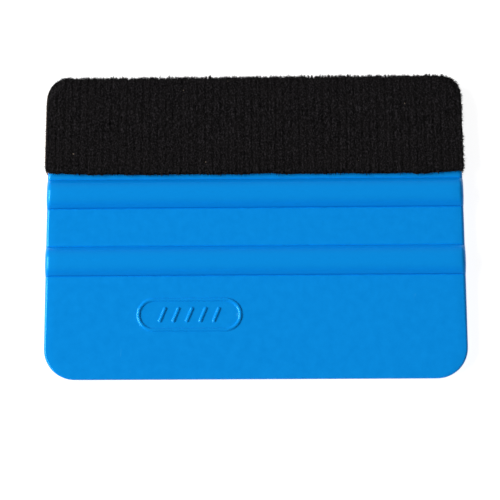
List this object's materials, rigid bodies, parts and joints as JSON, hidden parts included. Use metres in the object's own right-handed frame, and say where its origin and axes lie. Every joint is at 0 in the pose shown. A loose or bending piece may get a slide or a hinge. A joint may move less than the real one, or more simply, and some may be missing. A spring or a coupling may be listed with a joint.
{
  "type": "squeegee applicator",
  "caption": "Flat hand squeegee for laying vinyl film: a ridged, tapered plastic card with a felt strip folded over one long edge.",
  "frame": {"origin": "centre of the outline, on the surface that the crests of the back ridges rest on", "axes": "+X along the long edges, +Y from the hard edge towards the felt edge, +Z out of the front face"},
  "size_m": [0.101, 0.0746, 0.0057],
  "materials": {
    "card_plastic": "satin moulded polypropylene in sky blue, with a fine mottle",
    "adhesive_clear": "thin pale amber double-sided adhesive film",
    "felt_black": "black felt, finely ribbed and fuzzy, with cut edges"
  },
  "bodies": {
    "root": {"squeegee_card": "card_plastic", "adhesive_film": "adhesive_clear", "felt_strip": "felt_black"}
  },
  "joints": []
}
